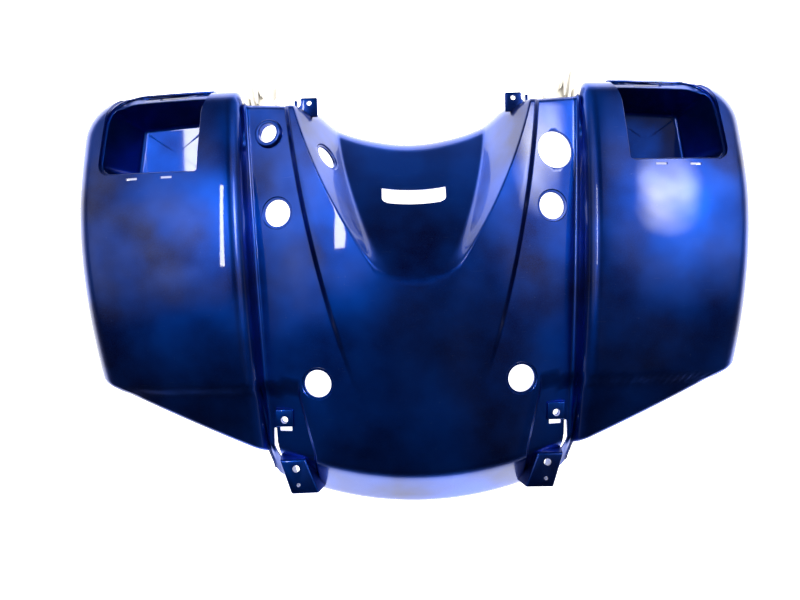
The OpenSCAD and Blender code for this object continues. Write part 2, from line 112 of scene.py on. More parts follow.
class StudioLook(bpy.types.PropertyGroup):
    floor: FloatVectorProperty(name="Floor", description="Colour of the table", subtype="COLOR", size=3,
                               default=(0.93, 0.92, 0.90))
    camera_height: length("Camera height", "Height of the camera over the table", 0.74)
    camera_turn: FloatProperty(name="Camera turn", description="Turn of the camera about its own axis",
                               default=math.radians(-1.6), subtype="ANGLE")
    room: FloatProperty(name="Room", description="Strength of the room's own light", default=1.0, min=0)
    tubes: FloatProperty(name="Tubes", description="Power of each ceiling tube", default=30.0, min=0)


# The form, in millimetres, as functions of place

def clamp01(t):
    return np.clip(t, 0.0, 1.0)


def mix(a, b, t):
    return a + (b - a) * t


def smooth(t):
    u = clamp01(t)
    return u * u * (3 - 2 * u)


def soft_min(a, b, k):
    h = clamp01(0.5 + 0.5 * (b - a) / k)
    return mix(b, a, h) - k * h * (1 - h)


def bowed(lo, hi, bow, t):
    return mix(lo, hi, t) + 4 * bow * t * (1 - t)


def edge_fall(d, r):
    """Fall of a quarter-round edge of radius r at distance d in from the edge."""
    return r - np.sqrt(np.maximum(0, r ** 2 - (r - np.clip(d, 0, r)) ** 2))


class CoverForm:
    """The painted side of the cover: x from the middle line, y towards the steering column, z up."""

    recess_y, recess_slope = 16.5, 0.455
    panel_top, panel_low, wing_top, wing_corner = 203.0, -208.0, 219.0, -72.0
    wing_edge, corner, low_edge, arc_edge, small_edge = 17.0, 45.0, 5.0, 13.0, 6.0
    lip_run, lip_rise, lip_plan = 36.0, math.tan(math.radians(44)), 400.0
    arc_r, arc_low, arc_end = 165.0, 168.0, 97.0
    tuck, low_slope, arch = 23.5, 0.466, 42.0
    foot_r, wall_angle = 4.0, math.radians(78)

    def __init__(self, sizes):
        self.half_w = sizes.width / MM / 2
        self.crown = sizes.crown / MM
        self.rise = sizes.wing_rise / MM
        self.wing_fall = sizes.wing_fall / MM
        self.shoulder_r = sizes.shoulder / MM
        self.step_h = sizes.step / MM
        self.detail = sizes.detail

    # Feature lines in plan
    def foot_x(self, y):
        return mix(297.0, 334.0, (y + 145) / 345) / 2

    def recess_x(self, y):
        rise = y - self.recess_y - 7
        return np.where(rise < 0, 36 + 0.05 * rise, bowed(72.0, 231.0, 16.4, rise / 165.5) / 2)

    def recess_run(self, y):
        return 9 + 0.17 * np.maximum(0, y - self.recess_y - 7)

    def step_x(self, y):
        return bowed(57.0, 123.0, 8.0, (y + 100) / 284)

    def pad_x(self, y):
        return mix(103.0, 117.0, clamp01((y + 150) / 60))

    def outer_x(self, y):
        corner_y = self.wing_top - self.corner
        past = np.maximum(0, y - corner_y)
        top = self.half_w - self.corner + np.sqrt(np.maximum(0, self.corner ** 2 - past ** 2))
        low = self.half_w - self.tuck * clamp01((110 - y) / (110 - self.wing_corner)) ** 1.5
        return np.where(y > corner_y, top, low)

    def top_y(self, x):
        arc = self.arc_low + self.arc_r - np.sqrt(self.arc_r ** 2 - np.minimum(x, self.arc_end) ** 2)
        f, end = self.foot_x(200), self.arc_end
        rise = clamp01((x - end - 8) / (f - end - 8))
        ear = mix(arc - 4.5, self.panel_top, rise) + 4.5 * clamp01((end + 8 - x) / 8)
        wing = mix(self.panel_top, self.wing_top, smooth((x - f) / 12))
        return np.where(x < end, arc, np.where(x < f, ear, wing))

    def low_y(self, kind, x):
        lip_x = np.minimum(x, self.foot_x(-145) - 8)
        lip = self.panel_low + self.lip_plan - np.sqrt(self.lip_plan ** 2 - lip_x ** 2)
        wing = self.wing_corner - self.low_slope * (self.half_w - self.tuck - x)
        return mix(wing, lip, self.lip_share(kind))

    def lip_share(self, kind):
        return smooth((0.55 - kind) / 0.4)

    # Heights
    def recess_cut(self, x, y):
        floor = self.recess_slope * (y - self.recess_y - 6.5 * np.minimum(1, (x / 36) ** 2))
        deep = np.maximum(6, y - self.recess_y)
        wall = (self.recess_x(y) - x) / self.recess_run(y) * self.recess_slope * deep
        return -soft_min(-soft_min(floor, wall, 6.0), 0.0, 2.2)

    def panel_z(self, x, y):
        x = np.abs(x)
        step = self.step_h * smooth((self.step_x(y) + 3 - x) / 6) * smooth((y + 100) / 130)
        pad = 3 * smooth((x - self.pad_x(y)) / 3) * smooth((-82 - y) / 3)
        return self.crown - x ** 2 / 1046 - (y - 10) ** 2 / 3000 + step - self.recess_cut(x, y) - pad

    def shoulder_z(self, y):
        return (self.panel_z(self.foot_x(y), y) + self.rise
                + (y - 10) ** 2 / 3000 - (y - 20) ** 2 / 1120)

    def wing_inset(self, x, y):
        cx, cy = self.half_w - self.corner, self.wing_top - self.corner
        round_in = self.corner - np.hypot(x - cx, y - cy)
        straight_in = np.minimum(self.outer_x(y) - x, self.wing_top - y)
        return np.where((x > cx) & (y > cy), round_in, straight_in)

    def wing_base_z(self, x, y):
        x0 = self.foot_x(y) + 4 + self.shoulder_r
        return self.shoulder_z(y) - self.wing_fall * (np.maximum(0, x - x0) / (self.half_w - x0)) ** 1.6

    def wing_z(self, x, y):
        return self.wing_base_z(x, y) - edge_fall(self.wing_inset(x, y), self.wing_edge)

    def top_roll(self, kind, x):
        small = mix(self.arc_edge, self.small_edge, clamp01((x - self.arc_end) / 14))
        inner = np.where(x < self.arc_end, self.arc_edge, small)
        return mix(inner, self.wing_edge, smooth((kind - 0.2) / 0.8))

    def fall(self, kind, x, y, lo, hi):
        side = np.where(kind >= 1, edge_fall(self.wing_inset(x, y), self.wing_edge), 0)
        lip = self.lip_share(kind)
        lip_drop = edge_fall(y - lo, 4.5) * 0.7 - self.lip_rise * soft_min(y - lo - self.lip_run, 0.0, 5.0)
        return (np.maximum(side, edge_fall(hi - y, self.top_roll(kind, x)))
                + mix(edge_fall(y - lo, self.low_edge), lip_drop, lip))

    # Grid lines across: each is [kind, x(y), z(y)]
    def across(self):
        """The grid lines of one half, from the middle line outwards, as (kind, place function)."""
        per_span = [4, 4, 2, 5, 2, 2, 5, 3, 2, 3, 3, 3, 3, 4, 2, 3]
        lines = [(0.0, lambda y, k=k, t=i / (n * self.detail): self.panel_line(y, k, t))
                 for k, n in enumerate(per_span) for i in range(n * self.detail)]
        lines.append((0.0, lambda y: self.panel_line(y, len(per_span) - 1, 1.0)))
        low, high = math.atan(-0.3), self.wall_angle
        n = 4 * self.detail
        for i in range(1, n + 1):
            lines.append((0.1 + 0.2 * i / n, lambda y, t=mix(low, high, i / n): self.foot_line(y, t)))
        n = 5 * self.detail
        for i in range(n + 1):
            turn = mix(math.pi / 2 - self.wall_angle, math.pi / 2, i / n)
            lines.append((0.5 + 0.5 * i / n, lambda y, t=turn: self.shoulder_line(y, t)))
        n = 9 * self.detail
        for i in range(1, n + 1):
            lines.append((1.0, lambda y, t=i / n: self.wing_line(y, t)))
        n = 5 * self.detail
        for i in range(1, n + 1):
            lines.append((1.0, lambda y, t=math.sin(math.pi / 2 * i / n): self.roll_line(y, t)))
        return lines

    def panel_line(self, y, k, t):
        b = self.recess_x(y)
        c = b - self.recess_run(y)
        s, f, p = self.step_x(np.maximum(y, -160)), self.foot_x(y), self.pad_x(y)
        outer = np.maximum(p + 4, s + 9)
        marks = [0 * y, c * 0.42, c * 0.8, c - 3, c + 3, mix(c, b, 0.5), b - 3, b + 2, b + 4,
                 np.maximum(s - 3, b + 5), np.maximum(s - 1, b + 7), np.maximum(s + 1, b + 9),
                 np.maximum(s + 3, b + 11), np.maximum(p, s + 5), outer, mix(outer, f, 0.5), f - 3]
        x = mix(marks[k], marks[k + 1], t)
        return x, self.panel_z(x, y)

    def foot_line(self, y, turn):
        low = math.atan(-0.3)
        x, z = self.panel_line(y, 15, 1.0)
        r = self.foot_r
        return x + r * (math.sin(turn) - math.sin(low)), z + r * (math.cos(low) - math.cos(turn))

    def shoulder_line(self, y, turn):
        r = self.shoulder_r
        return self.foot_x(y) + 4 + r - r * math.cos(turn), self.shoulder_z(y) - r + r * math.sin(turn)

    def wing_line(self, y, t):
        x = mix(self.foot_x(y) + 4 + self.shoulder_r, self.outer_x(y) - self.wing_edge, t)
        return x, self.wing_base_z(x, y)

    def roll_line(self, y, t):
        x = self.outer_x(y) - self.wing_edge * (1 - t)
        return x, self.wing_base_z(x, y)

    def rows(self, kind, place):
        """The y of every point along one grid line, from its lower end to its upper end."""
        lo, hi = -150.0, 200.0
        for _ in range(6):
            lo = float(self.low_y(kind, place(np.float64(lo))[0]))
            hi = float(self.top_y(place(np.float64(hi))[0]))
        lip = float(self.lip_share(kind))
        lip_off = np.array([0, .35, .8, 1.5, 2.4, 3.4, 4.6, 8, 13, 19, 25, 29, 32, 34, 35.3, 36.6, 38,
                            40, 43])
        wing_off = np.array([0, .1, .35, .8, 1.45, 2.3, 3.3, 4.4, 5.5, 7, 9, 12, 15, 18, 21, 25, 29, 33, 37])
        start = lo + mix(wing_off, lip_off, lip)
        x_hi = float(place(np.float64(hi))[0])
        roll = float(self.top_roll(kind, x_hi))
        foot = self.recess_y + 6.5 * min(1.0, (x_hi / 60) ** 2)
        d = self.detail
        low = np.linspace(start[-1], foot - 5, 12 * d + 1)[1:]
        crease = foot + np.linspace(-5, 6, 6 * d + 1)[1:]
        high = np.linspace(foot + 6, hi - roll, 16 * d + 1)[1:]
        turn = np.linspace(0, math.pi / 2, 5 * d + 1)[1:]
        return np.concatenate([start, low, crease, high, hi - roll * (1 - np.sin(turn))]), lo, hi

    def flange_z(self, kind, x, y, z, end):
        """Bottom of the upright flange under the rim at a point of height z."""
        if end == "side":
            s = clamp01((y - self.wing_corner) / (self.wing_top - self.corner - self.wing_corner))
            return np.minimum(self.arch * np.sqrt(4 * s * (1 - s)), z - 8)
        if end == "low":
            wing = mix(z - 9, 0, smooth((x - (self.half_w - self.tuck) + 60) / 58))
            return mix(wing, z - 7, self.lip_share(kind))
        return mix(z - 11, 0, smooth((kind - 0.5) / 0.5))

    def half_grid(self):
        """Points of one half, columns outwards and rows upwards, with flanges at both ends and the side."""
        columns = []
        for kind, place in self.across():
            y, lo, hi = self.rows(kind, place)
            x, z = place(y)
            z = z - self.fall(kind, x, y, lo, hi)
            low = [x[0], y[0], float(self.flange_z(kind, x[0], y[0], z[0], "low"))]
            top = [x[-1], y[-1], float(self.flange_z(kind, x[-1], y[-1], z[-1], "top"))]
            columns.append(np.vstack([low, np.column_stack([x, y, z]), top]))
        edge = columns[-1].copy()
        x, y, z = edge[1:-1].T
        edge[1:-1, 2] = self.flange_z(1.0, x, y, z, "side")
        edge[0] = edge[1] = columns[-1][0]
        edge[-1] = edge[-2] = columns[-1][-1]
        return np.array(columns + [edge])

    def normal(self, x, y):
        """Outward direction of the panel at a place on it."""
        e = 1.5
        slope_x = (self.panel_z(x + e, y) - self.panel_z(x - e, y)) / (2 * e)
        slope_y = (self.panel_z(x, y + e) - self.panel_z(x, y - e)) / (2 * e)
        return Vector((-slope_x, -slope_y, 1)).normalized()


# Modelling helpers

def leave_all():
    """Deselects everything, so that the next operator acts on its own piece alone."""
    if bpy.context.object and bpy.context.object.mode != "OBJECT":
        bpy.ops.object.mode_set(mode="OBJECT")
    bpy.ops.object.select_all(action="DESELECT")


def take(obj):
    leave_all()
    obj.select_set(True)
    bpy.context.view_layer.objects.active = obj


def in_edit(obj, *steps):
    """Runs mesh operators on the whole of a piece in edit mode."""
    take(obj)
    bpy.ops.object.mode_set(mode="EDIT")
    bpy.ops.mesh.select_all(action="SELECT")
    for step in steps:
        step()
    bpy.ops.object.mode_set(mode="OBJECT")


def to_frame(points):
    """Millimetres of the form to metres of the frame."""
    return (np.asarray(points, float) - (0, MID_Y, 0)) * MM


def laid_grid(name, points, closed=False):
    """A grid primitive laid on a table of points; doubles along seams and poles are merged."""
    n, m = points.shape[:2]
    leave_all()
    bpy.ops.mesh.primitive_grid_add(x_subdivisions=n - 1, y_subdivisions=m - 1, size=2)
    obj = bpy.context.object
    obj.name = obj.data.name = name
    flat = np.empty(len(obj.data.vertices) * 3)
    obj.data.vertices.foreach_get("co", flat)
    flat = flat.reshape(-1, 3)
    i = np.rint((flat[:, 0] + 1) / 2 * (n - 1)).astype(int)
    j = np.rint((flat[:, 1] + 1) / 2 * (m - 1)).astype(int)
    obj.data.vertices.foreach_set("co", to_frame(points[i, j]).ravel())
    obj.data.update()
    steps = [lambda: bpy.ops.mesh.remove_doubles(threshold=2e-6)]
    if closed:
        steps.append(lambda: bpy.ops.mesh.normals_make_consistent(inside=False))
    in_edit(obj, *steps)
    return obj


def ringed(name, rings):
    """A closed solid through a stack of outlines, each a table of points, with a pole at either end."""
    ends = [np.repeat(r.mean(axis=0, keepdims=True), len(r), axis=0) for r in (rings[0], rings[-1])]
    table = np.array([ends[0], *rings, ends[1]])
    table = np.concatenate([table, table[:, :1]], axis=1)
    return laid_grid(name, table.transpose(1, 0, 2), closed=True)


def turned(name, profile, at=(0, 0, 0), axis=(0, 0, 1), steps=64):
    """A closed turned solid: profile is a list of (radius, height) along the axis, from the foot up."""
    a = np.linspace(0, 2 * math.pi, steps, endpoint=False)
    turn = np.array(Vector((0, 0, 1)).rotation_difference(Vector(axis)).to_matrix())
    rings = [np.column_stack([r * np.cos(a), r * np.sin(a), np.full(steps, h)]) @ turn.T + at
             for r, h in profile]
    return ringed(name, rings)


def plate(name, outline, low, high, axis="Z", edge=0.4):
    """A flat plate cut to an outline, extruded from low to high along an axis, with its edges eased."""
    leave_all()
    bpy.ops.mesh.primitive_circle_add(vertices=len(outline), radius=1, fill_type="NGON")
    obj = bpy.context.object
    obj.name = obj.data.name = name
    order = {"Z": lambda u, v, w: (u, v, w), "X": lambda u, v, w: (w, u, v)}[axis]
    for vert, (u, v) in zip(obj.data.vertices, outline):
        vert.co = Vector(to_frame([order(u, v, low)])[0])
    shift = Vector(order(0, 0, high - low)) * MM
    in_edit(obj, lambda: bpy.ops.mesh.extrude_region_move(TRANSFORM_OT_translate={"value": shift}),
            lambda: bpy.ops.mesh.select_all(action="SELECT"),
            lambda: bpy.ops.mesh.normals_make_consistent(inside=False))
    if edge:
        ease(obj, edge)
    return obj


def block(name, foot, foot_z, face, face_z, edge=0.0, segments=3):
    """A four-sided block between two quads, from a cube primitive, with its edges rounded."""
    leave_all()
    bpy.ops.mesh.primitive_cube_add(size=2)
    obj = bpy.context.object
    obj.name = obj.data.name = name
    corner = {(-1, -1): 0, (1, -1): 1, (1, 1): 2, (-1, 1): 3}
    for vert in obj.data.vertices:
        k = corner[(round(vert.co.x), round(vert.co.y))]
        quad, z = (face, face_z) if vert.co.z > 0 else (foot, foot_z)
        vert.co = Vector(to_frame([(*quad[k], z[k] if isinstance(z, (list, tuple)) else z)])[0])
    in_edit(obj, lambda: bpy.ops.mesh.normals_make_consistent(inside=False))
    if edge:
        ease(obj, edge, segments)
    return obj


def apply_last(obj):
    take(obj)
    bpy.ops.object.modifier_apply(modifier=obj.modifiers[-1].name)


def ease(obj, width, segments=2, angle=30):
    bevel = obj.modifiers.new("edges", "BEVEL")
    bevel.width, bevel.segments = width * MM, segments
    bevel.limit_method, bevel.angle_limit = "ANGLE", math.radians(angle)
    apply_last(obj)


def carve(obj, tools, operation="DIFFERENCE"):
    """Cuts tools out of a piece, or joins them to it, and removes the tools."""
    take(tools[0])
    for tool in tools[1:]:
        tool.select_set(True)
    if len(tools) > 1:
        bpy.ops.object.join()
    tool = bpy.context.object
    cut = obj.modifiers.new("cut", "BOOLEAN")
    cut.operation, cut.solver, cut.object = operation, "EXACT", tool
    cut.use_self = len(tools) > 1
    before = len(obj.data.polygons)
    apply_last(obj)
    if len(obj.data.polygons) == before or not obj.data.polygons:
        raise RuntimeError(f"{operation} on {obj.name} changed nothing")
    bpy.data.objects.remove(tool)


def mirrored(obj, name):
    """A copy of a right-hand piece for the left side, with its own mesh."""
    take(obj)
    bpy.ops.object.duplicate(linked=False)
    other = bpy.context.object
    other.name = other.data.name = name
    other.data.transform(Matrix.Scale(-1, 4, Vector((1, 0, 0))))
    in_edit(other, bpy.ops.mesh.flip_normals)
    return other


def finish_piece(obj, materials, angle=35):
    """Gives a piece its materials, shading and body, and hides the CAD cover that it stands in for."""
    obj.data.materials.clear()
    for m in materials:
        obj.data.materials.append(m)
    take(obj)
    bpy.ops.object.shade_smooth_by_angle(angle=math.radians(angle))
    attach(obj, "root")
    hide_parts(NODE)
    return obj


# Finishes

def add(tree, kind, place=(0, 0), **inputs):
    """A node with its inputs set: a value, or a socket to link from."""
    node = tree.nodes.new(kind)
    node.location = place
    for key, value in inputs.items():
        key = key.replace("_", " ")
        if hasattr(node, key.replace(" ", "_")) and key not in node.inputs:
            setattr(node, key.replace(" ", "_"), value)
        elif isinstance(value, bpy.types.NodeSocket):
            tree.links.new(value, node.inputs[key])
        else:
            node.inputs[key].default_value = value
    return node


def ramp(tree, value, stops):
    node = add(tree, "ShaderNodeValToRGB")
    tree.links.new(value, node.inputs["Fac"])
    while len(node.color_ramp.elements) < len(stops):
        node.color_ramp.elements.new(0.5)
    for element, (place, shade) in zip(node.color_ramp.elements, stops):
        element.position, element.color = place, (shade, shade, shade, 1)
    return node.outputs["Color"]


def new_group(name, ins, outs):
    tree = bpy.data.node_groups.new(name, "ShaderNodeTree")
    for label, kind in ins:
        tree.interface.new_socket(label, in_out="INPUT", socket_type=kind)
    for label, kind in outs:
        tree.interface.new_socket(label, in_out="OUTPUT", socket_type=kind)
    return tree, tree.nodes.new("NodeGroupInput").outputs, tree.nodes.new("NodeGroupOutput").inputs


def cloud_group():
    """Slow cloudy change over the surface, from 0 to 1."""
    tree, give, out = new_group("slow_clouds", [("Vector", "NodeSocketVector"), ("Scale", "NodeSocketFloat")],
                                [("Value", "NodeSocketFloat")])
    noise = add(tree, "ShaderNodeTexNoise", Vector=give["Vector"], Scale=give["Scale"], Detail=3.0,
                Roughness=0.45)
    tree.links.new(ramp(tree, noise.outputs["Fac"], [(0.32, 0.0), (0.68, 1.0)]), out["Value"])
    return tree


def flake_group():
    """Fine metal flake: a value for each flake, and orange peel as a height."""
    tree, give, out = new_group("flake_and_peel",
                                [("Vector", "NodeSocketVector"), ("Flake", "NodeSocketFloat"),
                                                   ("Peel", "NodeSocketFloat")],
                                [("Flakes", "NodeSocketFloat"), ("Height", "NodeSocketFloat")])
    cells = add(tree, "ShaderNodeTexVoronoi", Vector=give["Vector"], Scale=give["Flake"])
    peel = add(tree, "ShaderNodeTexNoise", Vector=give["Vector"], Scale=give["Peel"], Detail=2.0)
    tree.links.new(ramp(tree, cells.outputs["Color"], [(0.1, 0.0), (0.9, 1.0)]), out["Flakes"])
    tree.links.new(peel.outputs["Fac"], out["Height"])
    return tree


def dust_group():
    """Sparse specks and fine hair scratches, as a mask."""
    tree, give, out = new_group("dust_and_hairlines",
                                [("Vector", "NodeSocketVector"), ("Scale", "NodeSocketFloat")],
                                [("Mask", "NodeSocketFloat")])
    specks = add(tree, "ShaderNodeTexNoise", Vector=give["Vector"], Scale=give["Scale"], Detail=4.0,
                 Roughness=0.7)
    stretch = add(tree, "ShaderNodeMapping", Vector=give["Vector"], Rotation=(0, 0, 0.6), Scale=(1, 14, 1))
    hairs = add(tree, "ShaderNodeTexNoise", Vector=stretch.outputs["Vector"], Scale=60.0, Detail=2.0)
    a = ramp(tree, specks.outputs["Fac"], [(0.66, 0.0), (0.74, 1.0)])
    b = ramp(tree, hairs.outputs["Fac"], [(0.70, 0.0), (0.76, 0.5)])
    both = add(tree, "ShaderNodeMath", operation="MAXIMUM")
    tree.links.new(a, both.inputs[0])
    tree.links.new(b, both.inputs[1])
    tree.links.new(both.outputs["Value"], out["Mask"])
    return tree


def use(tree, group, vector, **values):
    node = tree.nodes.new("ShaderNodeGroup")
    node.node_tree = bpy.data.node_groups.get(group) or GROUPS[group]()
    tree.links.new(vector, node.inputs["Vector"])
    for key, value in values.items():
        node.inputs[key].default_value = value
    return node.outputs


GROUPS = {"slow_clouds": cloud_group, "flake_and_peel": flake_group, "dust_and_hairlines": dust_group}


def new_material(name):
    found = bpy.data.materials.get(name)
    if found:
        return found, None, None, None
    mat = bpy.data.materials.new(name)
    mat.use_nodes = True
    tree = mat.node_tree
    shader = next(n for n in tree.nodes if n.type == "BSDF_PRINCIPLED")
    return mat, tree, shader, add(tree, "ShaderNodeTexCoord").outputs["Object"]


def blend_colour(tree, fac, a, b):
    node = add(tree, "ShaderNodeMix", data_type="RGBA")
    for socket, value in ((node.inputs[0], fac), (node.inputs[6], a), (node.inputs[7], b)):
        if isinstance(value, bpy.types.NodeSocket):
            tree.links.new(value, socket)
        else:
            socket.default_value = value if isinstance(value, float) else (*value, 1)
    return node.outputs[2]


def scaled(tree, value, factor, offset=0.0):
    node = add(tree, "ShaderNodeMath", operation="MULTIPLY_ADD")
    tree.links.new(value, node.inputs[0])
    node.inputs[1].default_value, node.inputs[2].default_value = factor, offset
    return node.outputs["Value"]


def bumped(tree, height, strength, distance):
    node = add(tree, "ShaderNodeBump", Strength=strength, Distance=distance)
    tree.links.new(height, node.inputs["Height"])
    return node.outputs["Normal"]


def metallic_paint():
    """Deep blue metallic paint under clear lacquer."""
    paint = bpy.context.scene.cover_paint
    mat, tree, shader, place = new_material("metallic_blue_paint")
    if tree is None:
        return mat
    clouds = use(tree, "slow_clouds", place, Scale=13.0)["Value"]
    flake = use(tree, "flake_and_peel", place, Flake=2200.0, Peel=420.0)
    dust = use(tree, "dust_and_hairlines", place, Scale=260.0)["Mask"]
    body = blend_colour(tree, clouds, tuple(paint.deep), tuple(paint.bright))
    spark = blend_colour(tree, scaled(tree, flake["Flakes"], 0.30), body, (0.004, 0.05, 0.36))
    colour = blend_colour(tree, scaled(tree, dust, 0.05), spark, (0.5, 0.55, 0.65))
    tree.links.new(colour, shader.inputs["Base Color"])
    rough = scaled(tree, flake["Flakes"], 0.10, paint.base_gloss)
    tree.links.new(rough, shader.inputs["Roughness"])
    tree.links.new(bumped(tree, flake["Height"], 0.02, 0.0004), shader.inputs["Normal"])
    shader.inputs["Metallic"].default_value = 1.0
    shader.inputs["Coat Weight"].default_value = 0.55
    shader.inputs["Coat Roughness"].default_value = paint.coat_gloss
    shader.inputs["Coat IOR"].default_value = 1.5
    return mat


def raw_moulding():
    """Unpainted off-white plastic with a fine grain and a little blue overspray."""
    paint = bpy.context.scene.cover_paint
    mat, tree, shader, place = new_material("raw_cream_moulding")
    if tree is None:
        return mat
    clouds = use(tree, "slow_clouds", place, Scale=22.0)["Value"]
    grain = use(tree, "flake_and_peel", place, Flake=900.0, Peel=700.0)
    dust = use(tree, "dust_and_hairlines", place, Scale=180.0)["Mask"]
    shade = tuple(0.86 * c for c in paint.raw)
    body = blend_colour(tree, clouds, tuple(paint.raw), shade)
    spray = blend_colour(tree, scaled(tree, grain["Flakes"], 0.07), body, (0.10, 0.16, 0.42))
    colour = blend_colour(tree, scaled(tree, dust, 0.25), spray, (0.30, 0.28, 0.25))
    tree.links.new(colour, shader.inputs["Base Color"])
    tree.links.new(scaled(tree, grain["Flakes"], 0.12, 0.46), shader.inputs["Roughness"])
    tree.links.new(bumped(tree, grain["Height"], 0.10, 0.0005), shader.inputs["Normal"])
    return mat


# Light that the table gives off by itself, so that it comes out as white
TABLE_GLOW = 1.7


def table_top():
    """Plain pale table."""
    mat, tree, shader, place = new_material("pale_table")
    if tree is None:
        return mat
    floor = tuple(bpy.context.scene.studio_look.floor)
    clouds = use(tree, "slow_clouds", place, Scale=1.5)["Value"]
    colour = blend_colour(tree, clouds, floor, tuple(0.985 * c for c in floor))
    tree.links.new(colour, shader.inputs["Base Color"])
    tree.links.new(colour, shader.inputs["Emission Color"])
    shader.inputs["Emission Strength"].default_value = TABLE_GLOW
    shader.inputs["Roughness"].default_value = 0.7
    return mat


# The pieces

def pocket_outline(corners, radii, flare=0.0, n_side=14, n_arc=8):
    """A rounded outline through four corners, with the same count of points for any corners.

    The corners run low inner, low outer, top outer, top inner."""
    points = []
    count = len(corners)
    c = [np.array(p, float) for p in corners]
    ends = []
    for k in range(count):
        a, b, d = c[k - 1], c[k], c[(k + 1) % count]
        u, v = (a - b) / np.linalg.norm(a - b), (d - b) / np.linalg.norm(d - b)
        half = math.acos(float(np.clip(u @ v, -1, 1))) / 2
        reach = radii[k] / math.tan(half)
        centre = b + (u + v) / np.linalg.norm(u + v) * radii[k] / math.sin(half)
        p, q = b + u * reach, b + v * reach
        start, stop = math.atan2(*(p - centre)[::-1]), math.atan2(*(q - centre)[::-1])
        stop += 2 * math.pi * (stop < start)
        arc = [centre + radii[k] * np.array([math.cos(t), math.sin(t)])
               for t in np.linspace(start, stop, n_arc)]
        ends.append(arc)
    for k in range(count):
        points += ends[k]
        nxt = ends[(k + 1) % count][0]
        points += [mix(ends[k][-1], nxt, i / n_side) for i in range(1, n_side)]
    points = np.array(points)
    if flare:
        near = clamp01(1 - (points[:, 0] - corners[0][0]) / 24)
        points[:, 0] -= flare * near * smooth((points[:, 1] - 192) / 30) ** 1.3
    return points


def inset(points, d):
    """Moves every point of a counter-clockwise outline inwards by d."""
    ahead, behind = np.roll(points, -1, axis=0), np.roll(points, 1, axis=0)
    t = ahead - behind
    t /= np.maximum(1e-9, np.linalg.norm(t, axis=1))[:, None]
    return points + np.column_stack([-t[:, 1], t[:, 0]]) * d


RIM = [(210.4, 129.3), (315.8, 131.3), (311.5, 219.0), (209.0, 219.0)]
RIM_R = [5.5, 13.0, 34.0, 1.2]


def opening_tool(form):
    """The solid that cuts the lamp opening: its floor follows the wing, a little under the lamp seat."""
    outer = pocket_outline([RIM[0], RIM[1], (311.5, 228), (209, 236)], [5.5, 13, 40, 1], flare=7.5)
    centre = np.array([262.0, 172.0])

    def ring(share, z=None):
        p = centre + share * (outer - centre)
        low = form.wing_z(p[:, 0], np.minimum(p[:, 1], 216.2)) - 8.5
        return np.column_stack([p, low if z is None else np.full(len(p), z)])
    return ringed("opening_tool", [ring(s) for s in (0.15, 0.35, 0.55, 0.75, 0.9, 1.0)] + [ring(1.0, 150.0)])


def hole_tool(form, x, y, profile):
    """A turned cutter that stands square to the panel at a place on it."""
    at = (x, y, float(form.panel_z(x, y)))
    return turned("hole_tool", profile, at, form.normal(x, y))


def rounded_hole(r, top=0.0, lip=0.8):
    """Profile of a plain hole whose rim is rounded over where it meets the paint."""
    return [(r, -14), (r, top - lip), (r + 0.12 * lip, top - 0.5 * lip), (r + 0.4 * lip, top - 0.15 * lip),
            (r + lip, top + 0.03), (r + 1.15 * lip, top + 1), (r + 1.15 * lip, top + 14)]


def sunk_hole(r, seat, depth):
    """Profile of a hole with a shallow seat round it."""
    return ([(r, -14), (r, -depth - 0.4), (r + 0.3, -depth - 0.05), (r + seat - 0.4, -depth)]
            + [(r + seat, -depth + 0.3), (r + seat + 0.1, -0.35), (r + seat + 0.5, -0.05),
               (r + seat + 1.1, 0.1), (r + seat + 1.2, 1), (r + seat + 1.2, 14)])


def slot_outline(grow=0.0):
    w, h, bow, y = 32.5 + grow, 15.5, 2.8, 111.7
    r = (w ** 2 + bow ** 2) / (2 * bow)
    a = math.asin(w / r)
    top = [(r * math.sin(t), y + grow + r - r * math.cos(t)) for t in np.linspace(a, -a, 25)]
    low_y = y - h - grow
    left = [(-w + 5 - 5 * math.cos(t), low_y + bow + 5 - 5 * math.sin(t)) for t in np.linspace(0, 1.4, 7)]
    low = [(r * math.sin(t), low_y + r - r * math.cos(t)) for t in np.linspace(-a + 0.03, a - 0.03, 21)]
    right = [(w - 5 + 5 * math.cos(t), low_y + bow + 5 - 5 * math.sin(t)) for t in np.linspace(1.4, 0, 7)]
    return np.array(top + left + low + right)


BOSS_FOOT = [(97, -190), (131.5, -191), (142.5, -142), (111, -141)]
BOSS_FACE = [(102, -188.5), (129.5, -189), (140.5, -155.5), (115, -155)]
LUG_FOOT = [(124, -123), (144, -123), (144.5, -102), (123.5, -102)]
LUG_FACE = [(125.5, -122), (143, -122), (143, -105), (126, -105)]
GAP = [(143.4, -124), (146, -124), (146.8, -141), (144, -152), (139.6, -166.5), (138.4, -166),
       (140.4, -152.6), (143, -138)]
BOSS_BOLT, BOSS_PIN, LUG_BOLT, LUG_SLOT = (124.3, -164), (122.3, -180), (134.2, -115.2), (133.6, -124.7)


def shrunk(quad, d):
    (a, b), (c, e), (f, g), (h, i) = quad
    return [(a + d, b + d), (c - d, e + d), (f - d, g - d), (h + d, i - d)]


def box_tool(x0, x1, y0, y1, z0, z1):
    quad = [(x0, y0), (x1, y0), (x1, y1), (x0, y1)]
    return block("box_tool", quad, z0, quad, z1)


def drill(x, y, d, z0, z1):
    return turned("drill", [(d / 2, z0), (d / 2, z1)], (x, y, 0), steps=32)


def both(make):
    """A right-hand tool and its mirror image."""
    right = make()
    return [right, mirrored(right, right.name + "_left")]


